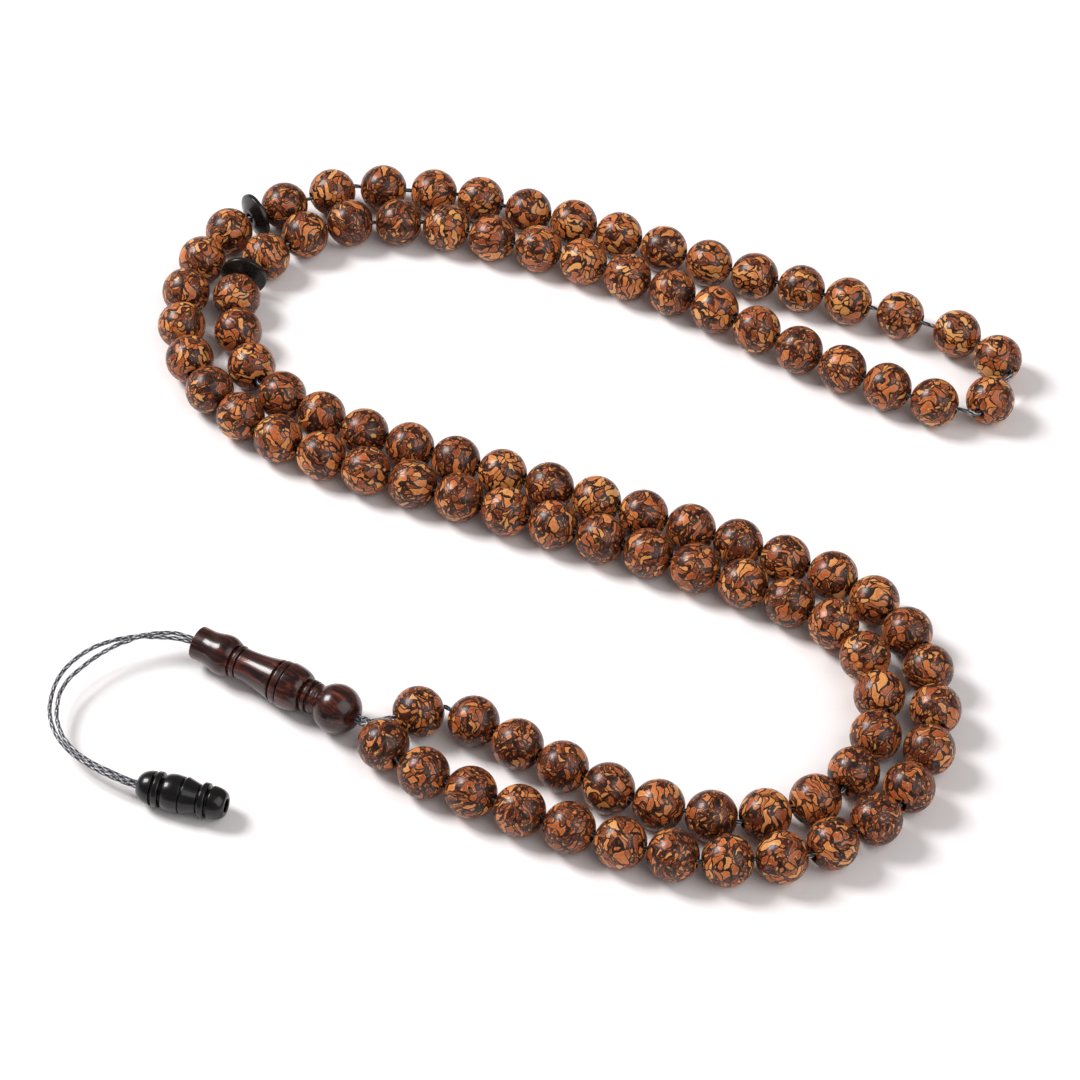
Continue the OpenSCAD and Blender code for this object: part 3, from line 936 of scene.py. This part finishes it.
@dataclass
class Imame:
    """The turned head piece that both strands run through. Millimetres."""

    finishes: Finishes
    length: float = 29.6
    ball: float = 7.8
    rim: float = 5.4
    rim_length: float = 1.7
    collar: float = 6.5
    collar_length: float = 6.8
    stem_thin: float = 5.0
    stem_wide: float = 6.7
    stem_flare: float = 1.8
    bell: float = 7.4
    bell_length: float = 3.4
    band_width: float = 1.1
    ring: float = 5.3
    ring_width: float = 0.75
    groove_width: float = 0.36
    groove_depth: float = 0.4
    bore: float = 2.6
    throat: float = 1.6
    throat_length: float = 3.0
    flare: float = 3.8
    flare_depth: float = 1.2

    def outline(self) -> Array:
        """The section from the mouth to the ball: a rim, a swelling collar, a small ring, a stem
        that flares, a band, a bell, two small rings and a ball, parted by grooves, and then the
        bore, with a narrow throat in the ball and a flare at the mouth.

        Returns:
            Closed outline, as radius and distance from the mouth.
        """
        width, depth, ring = self.groove_width, self.groove_depth, self.ring / 2
        root = ring - depth
        ball = self.ball / 2
        ball_neck = math.sqrt(ball**2 - root**2)
        rings = self.length - ball - ball_neck - 3 * width - 2 * self.ring_width
        bell = rings - self.bell_length
        stem = self.collar_length + 2 * width + self.ring_width
        stem_end = bell - 2 * width - self.band_width
        rise = np.linspace(0, 1, 14)
        swelling = self.rim / 2 + (self.collar - self.rim) / 2 * np.sin(np.pi * rise**1.6)
        flare = self.stem_thin / 2 + (self.stem_wide - self.stem_thin) / 2 * rise**self.stem_flare
        tilt = np.linspace(math.atan2(-ball_neck, root), math.acos(self.throat / 2 / ball), 30)
        parts = [
            [[self.flare / 2, 0], [self.rim / 2, 0]],
            np.stack(
                [swelling, self.rim_length + rise * (self.collar_length - self.rim_length)], axis=1
            ).tolist(),
            groove(self.collar_length, ring, width, depth),
            band(self.collar_length + width, ring, self.ring_width),
            groove(self.collar_length + width + self.ring_width, self.stem_thin / 2, width, depth),
            np.stack([flare, stem + (0.02 + 0.96 * rise) * (stem_end - stem)], axis=1).tolist(),
            groove(stem_end, self.stem_wide / 2, width, depth),
            band(stem_end + width, (self.stem_wide + self.bell) / 4, self.band_width),
            groove(bell - width, self.bell / 2 - 0.2, width, depth),
            quarter(bell, self.bell_length, self.bell / 2, ring),
            groove(rings, ring, width, depth),
            band(rings + width, ring, self.ring_width),
            groove(rings + width + self.ring_width, ring, width, depth),
            band(rings + 2 * width + self.ring_width, ring - 0.1, self.ring_width),
            np.stack([ball * np.cos(tilt), self.length - ball + ball * np.sin(tilt)], axis=1).tolist(),
            [
                [self.throat / 2, self.length - self.throat_length],
                [self.bore / 2, self.length - self.throat_length],
            ],
            [[self.bore / 2, self.flare_depth]],
        ]
        return soften(np.array(sum(parts, [])), 0.06, 0.055)

    def build(self) -> bpy.types.Object:
        """Builds the piece round its joint's axis.

        Returns:
            The new object.
        """
        points, faces = turned(self.outline(), 72)
        axis = joint_axis("imame_turn")
        start = np.array(joint("imame_turn")["pos_m"]) - axis * self.length / 2 * MM
        piece = make_piece(
            "imame_turned",
            lay_along(points * MM, start, axis),
            faces,
            self.finishes.rosewood,
            {PLACE: points},
        )
        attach(piece, "imame")
        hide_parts("imame")
        return piece


@dataclass
class Toggle:
    """The small turned piece at the end of the tail. Millimetres."""

    finishes: Finishes
    length: float = 14.2
    dome: float = 5.3
    dome_length: float = 2.5
    flange: float = 5.6
    flange_width: float = 1.05
    barrel: float = 5.9
    tip: float = 5.2
    tip_length: float = 2.6
    gap: float = 0.36
    seat: float = 1.95
    entry: float = 1.6
    tip_bore: float = 2.2
    tip_bore_depth: float = 6.2

    def outline(self) -> Array:
        """The section from the tail to the tip: a dome, a flange, a barrel, a cone, a flange and
        a rounded tip, parted by deep gaps, and then the open bore and the hole for the tail.

        Returns:
            Closed outline, as radius and distance from the tail.
        """
        entry, hole = self.entry / 2, self.tip_bore / 2
        first = self.dome_length + self.gap
        barrel = first + self.flange_width + self.gap
        second = self.length - self.tip_length - self.gap - self.flange_width
        cone_end = second - self.gap
        cone = cone_end - (cone_end - barrel) * 0.42
        radius = self.barrel / 2
        parts = [
            quarter(0, self.dome_length, entry, self.dome / 2),
            [[self.seat, self.dome_length], [self.seat, first]],
            band(first, self.flange / 2, self.flange_width),
            [[self.seat, first + self.flange_width], [self.seat, barrel]],
            quarter(barrel, (cone - barrel) / 2, radius - 0.6, radius),
            groove(cone - self.gap, radius - 0.1, self.gap, 0.3),
            [[radius, cone + 0.15], [radius - 0.7, cone_end], [self.seat, cone_end], [self.seat, second]],
            band(second, self.flange / 2, self.flange_width),
            [[self.seat, second + self.flange_width], [self.seat, self.length - self.tip_length]],
            [[self.tip / 2 - 0.2, self.length - self.tip_length]],
            quarter(self.length - self.tip_length + 0.2, self.tip_length - 0.2, self.tip / 2, hole + 0.25),
            [[hole, self.length - 0.1], [hole, self.length - self.tip_bore_depth]],
            [[entry, self.length - self.tip_bore_depth]],
        ]
        return soften(np.array(sum(parts, [])), 0.06, 0.05)

    def build(self) -> bpy.types.Object:
        """Builds the piece round its joint's axis.

        Returns:
            The new object.
        """
        points, faces = turned(self.outline(), 72)
        start = np.array(joint("toggle_turn")["pos_m"])
        piece = make_piece(
            "toggle_turned",
            lay_along(points * MM, start, joint_axis("toggle_turn")),
            faces,
            self.finishes.ebony,
            {PLACE: points + 50},
        )
        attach(piece, "toggle")
        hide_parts("toggle")
        return piece


# ---- Strings ----


@dataclass
class Tail:
    """The two strands that leave the imame's mouth and end in the toggle. Each route is measured
    in millimetres from the middle of the mouth, and the third number is the height of its
    middle."""

    finishes: Finishes
    braid: Braid = field(default_factory=Braid)
    pair_offset: float = 0.37 * MM
    hidden: float = 3.0 * MM
    entry_depth: float = 4.0 * MM
    knot_depth: float = 8.1 * MM
    blend_reach: float = 1.5 * MM
    point_step: float = 0.11 * MM
    far: tuple[tuple[float, float, float], ...] = (
        (-3.35, 1.8, 4.0),
        (-5.35, 2.0, 3.95),
        (-7.3, 1.85, 3.95),
        (-9.25, 1.45, 3.9),
        (-11.15, 1.0, 4.0),
        (-13.0, 0.4, 4.1),
        (-15.8, -0.9, 4.15),
        (-18.2, -2.8, 4.1),
        (-20.3, -5.4, 4.0),
        (-21.55, -8.35, 3.9),
        (-22.0, -11.3, 3.8),
        (-22.0, -13.85, 3.8),
        (-21.3, -16.85, 3.8),
        (-19.9, -19.65, 3.8),
        (-17.95, -22.0, 3.7),
        (-15.4, -24.05, 3.55),
        (-12.5, -25.85, 3.4),
    )
    near: tuple[tuple[float, float, float], ...] = (
        (-3.25, 0.65, 4.1),
        (-5.3, 0.8, 4.25),
        (-7.2, 0.7, 4.45),
        (-9.1, 0.65, 4.6),
        (-11.0, -0.2, 4.5),
        (-12.75, -0.9, 4.3),
        (-15.5, -2.9, 4.15),
        (-17.85, -5.35, 4.1),
        (-19.6, -7.55, 4.0),
        (-20.7, -10.1, 3.8),
        (-20.95, -12.4, 3.6),
        (-20.9, -14.5, 3.4),
        (-20.4, -16.4, 3.25),
        (-19.5, -18.5, 3.15),
        (-17.7, -20.9, 3.1),
        (-15.3, -22.95, 3.05),
        (-12.4, -24.7, 3.0),
    )

    def path(self, route: tuple[tuple[float, float, float], ...], side: int) -> Array:
        """A strand's middle line, from inside the imame's mouth to the knot in the toggle.

        Args:
            route: Points from the middle of the mouth.
            side: 1 for the strand on the left of the imame's axis, and -1 for the other.

        Returns:
            Points evenly spaced along the line.
        """
        mouth = np.array(joint("tail_swing")["pos_m"])
        out = joint_axis("imame_turn")
        left = np.cross([0.0, 0.0, 1.0], out) * side * self.pair_offset
        end = np.array(joint("toggle_turn")["pos_m"])
        way = joint_axis("toggle_turn")
        entry = end - np.cross([0.0, 0.0, 1.0], way) * side * self.pair_offset
        points = np.array(route) * MM + [mouth[0], mouth[1], 0.0]
        lead = [mouth + out * self.hidden + left, mouth + left]
        depths = (-self.braid.diameter * MM, self.entry_depth, self.knot_depth)
        tail = [entry + way * depth for depth in depths]
        return smooth_path(np.vstack([lead, points, tail]), self.point_step)

    def build(self) -> None:
        for name, route, side in (("tail_far_strand", self.far, 1), ("tail_near_strand", self.near, -1)):
            path = self.path(route, side)
            points, faces, weave = self.braid.tube(path)
            piece = make_piece(name + "_braid", points, faces, self.finishes.braid, {WEAVE: weave})
            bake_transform(piece)
            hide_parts(name)
            LOG.info("%s: %.1f mm long", name, path_length(path) / MM)


@dataclass
class Knot:
    """A tight overhand knot of the doubled string. Millimetres."""

    finishes: Finishes
    braid: Braid = field(default_factory=lambda: Braid(diameter=0.75, lay=1.4, sides=16))

    def points(self, start: Array, axis: Array, length: float, width: float) -> tuple[Array, Array, Array]:
        """An overhand knot pulled tight: x is minus the sine of three turns, y is the cosine of
        one turn less twice that of two, and z is the sine of one turn and twice that of two.
        Each is scaled to fill the length and the width.

        Args:
            start: Middle of the end of the knot.
            axis: Level direction of the knot.
            length: Length that it fills.
            width: Width that it fills.

        Returns:
            Points, faces and weave heights.
        """
        t = np.linspace(0, 2 * np.pi, 400, endpoint=False)
        line = np.stack(
            [-np.sin(3 * t), np.cos(t) - 2 * np.cos(2 * t), np.sin(t) + 2 * np.sin(2 * t)], axis=1
        )
        thick = self.braid.diameter
        half = np.array([(length - thick) / 2, (width - thick) / 2, (width - thick) / 2])
        line = line / np.abs(line).max(axis=0) * half
        tube = self.braid.tube(line[:, [1, 2, 0]] * MM, closed=True)
        own = tube[0][:, [2, 0, 1]] + [length / 2 * MM, 0, 0]
        return lay_along(own, start, axis), facing_out(own, tube[1]), tube[2]

    def build(self, node: str, body: str, start: Array, axis: Array, length: float, width: float) -> None:
        """Builds a knot in place of a CAD node and gives it to a body."""
        points, faces, weave = self.points(start, axis, length, width)
        piece = make_piece(node + "_braid", points, faces, self.finishes.braid, {WEAVE: weave})
        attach(piece, body)
        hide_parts(node)


@dataclass
class MainString:
    """The string through the beads, and the pair of strands in the imame."""

    finishes: Finishes
    braid: Braid = field(default_factory=lambda: Braid(sides=12))
    knot_clear: float = 0.6 * MM
    pair_offset: float = 0.37 * MM
    pair_half: float = 14.8 * MM
    tail_reach: float = 3.1 * MM
    past_ball: float = 0.4 * MM

    def bends(self, groups: list[Strung]) -> Array:
        """Where the string bends: between two groups, at the point where their axes come nearest
        each other, or midway between their beads where the axes are nearly in line.

        Args:
            groups: The groups, in order round the loop.

        Returns:
            The bends, from the neck round to the neck.
        """
        neck = np.array(joint("neck_swing")["pos_m"])
        centres = [group.centres() for group in groups]
        bends = [neck + (centres[0][0] - neck) / np.linalg.norm(centres[0][0] - neck) * self.knot_clear]
        for here, after, ours, theirs in zip(groups[:-1], groups[1:], centres[:-1], centres[1:]):
            last, first = ours[-1], theirs[0]
            if (ours[-1] - ours[0]) @ here.axis < 0:
                last = ours[0]
            if (theirs[-1] - theirs[0]) @ after.axis < 0:
                first = theirs[-1]
            cross = here.axis[0] * after.axis[1] - here.axis[1] * after.axis[0]
            gap = first - last
            if abs(cross) < 0.12:
                bends.append((last + first) / 2)
            else:
                reach = (gap[0] * after.axis[1] - gap[1] * after.axis[0]) / cross
                bends.append(last + here.axis * reach)
        end = centres[-1][-1]
        bends.append(neck + (end - neck) / np.linalg.norm(end - neck) * self.knot_clear)
        return np.array(bends)

    def build(self, groups: list[Strung]) -> None:
        """Builds the loop's string, and the pair inside the imame."""
        path = even_path(self.bends(groups), 0.3 * MM)
        points, faces, weave = self.braid.tube(path)
        piece = make_piece("loop_string_braid", points, faces, self.finishes.braid, {WEAVE: weave})
        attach(piece, "loop_string")
        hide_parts("loop_string")

        axis = joint_axis("imame_turn")
        middle = np.array(joint("imame_turn")["pos_m"])
        side = np.cross([0.0, 0.0, 1.0], axis) * self.pair_offset
        tubes = []
        for way in (-1, 1):
            ends = [
                middle - axis * (self.pair_half - self.tail_reach),
                middle + axis * (self.pair_half + self.past_ball),
            ]
            line = np.array(ends) + side * way
            tubes.append(self.braid.tube(even_path(line, 0.2 * MM)))
        piece = make_piece(
            "neck_string_braid",
            np.vstack([tube[0] for tube in tubes]),
            np.vstack([tubes[0][1], tubes[1][1] + len(tubes[0][0])]),
            self.finishes.braid,
            {WEAVE: np.concatenate([tube[2] for tube in tubes])},
        )
        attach(piece, "neck")
        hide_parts("neck_string")


# ---- Stage ----


@dataclass
class Studio:
    """The white table, the soft lights and the camera."""

    camera_place: tuple[float, float, float] = (-0.008, -0.4374, 0.4723)
    camera_pitch: float = 47.55
    lens: float = 133.3
    floor_size: float = 6.0
    world_colour: str = "#FFF9F9"
    world_strength: float = 0.27

    def floor(self) -> None:
        """Lays the white table under the beads."""
        half = self.floor_size / 2
        corners = np.array([[-half, -half, 0.0], [half, -half, 0.0], [half, half, 0.0], [-half, half, 0.0]])
        make_piece("table", corners, np.array([[0, 1, 2, 3]]), Tabletop().build())

    def light(
        self, name: str, place: tuple[float, float, float], size: float, power: float, colour: str
    ) -> None:
        """Adds a square soft light that faces the middle of the beads.

        Args:
            name: Name of the light.
            place: Where it stands, in metres.
            size: Length of its side.
            power: Its power in watts.
            colour: Its colour in hex.
        """
        lamp = bpy.data.lights.new(name, "AREA")
        lamp.shape = "SQUARE"
        lamp.size = size
        lamp.energy = power
        lamp.color = linear(colour)[:3]
        made = bpy.data.objects.new(name, lamp)
        made.location = place
        toward = -made.location
        made.rotation_euler = toward.to_track_quat("-Z", "Y").to_euler()
        bpy.context.scene.collection.objects.link(made)

    def camera(self) -> None:
        """Adds the camera, which looks level along +Y and then down."""
        data = bpy.data.cameras.new("camera")
        data.lens = self.lens
        data.sensor_width = 36.0
        data.clip_start = 0.05
        data.clip_end = 20.0
        made = bpy.data.objects.new("camera", data)
        made.location = self.camera_place
        made.rotation_euler = (math.radians(90 - self.camera_pitch), 0.0, 0.0)
        bpy.context.scene.collection.objects.link(made)
        bpy.context.scene.camera = made

    def build(self) -> None:
        """Builds the stage."""
        self.floor()
        self.light("key", (-0.75, 0.3, 0.85), 0.42, 14.0, "#FFFDFD")
        self.light("fill", (0.7, -0.5, 0.9), 1.2, 8.5, "#FFFFFF")
        world = bpy.data.worlds.new("studio")
        world.use_nodes = True
        background = world.node_tree.nodes["Background"]
        background.inputs["Color"].default_value = linear(self.world_colour)
        background.inputs["Strength"].default_value = self.world_strength
        bpy.context.scene.world = world
        bpy.context.scene.view_settings.view_transform = "Standard"
        self.camera()


def main() -> None:
    """Builds the stage and then the pieces, from the camera and the cords to the beads."""
    logging.basicConfig(level=logging.INFO, format="%(name)s: %(message)s")
    Studio().build()
    finishes = Finishes()
    Tail(finishes).build()
    groups = BeadString(finishes).build()
    MainString(finishes).build(groups)
    neck = np.array(joint("neck_swing")["pos_m"])
    imame_axis = joint_axis("imame_turn")
    toggle_axis = joint_axis("toggle_turn")
    toggle_end = np.array(joint("toggle_turn")["pos_m"])
    knot = Knot(finishes)
    knot.build("neck_knot", "neck", neck - imame_axis * 1.15 * MM, imame_axis, 2.05, 1.8)
    knot.build("stopper_knot", "tail", toggle_end + toggle_axis * 8.15 * MM, toggle_axis, 2.2, 1.8)
    Imame(finishes).build()
    Toggle(finishes).build()


if __name__ == "__main__":
    main()
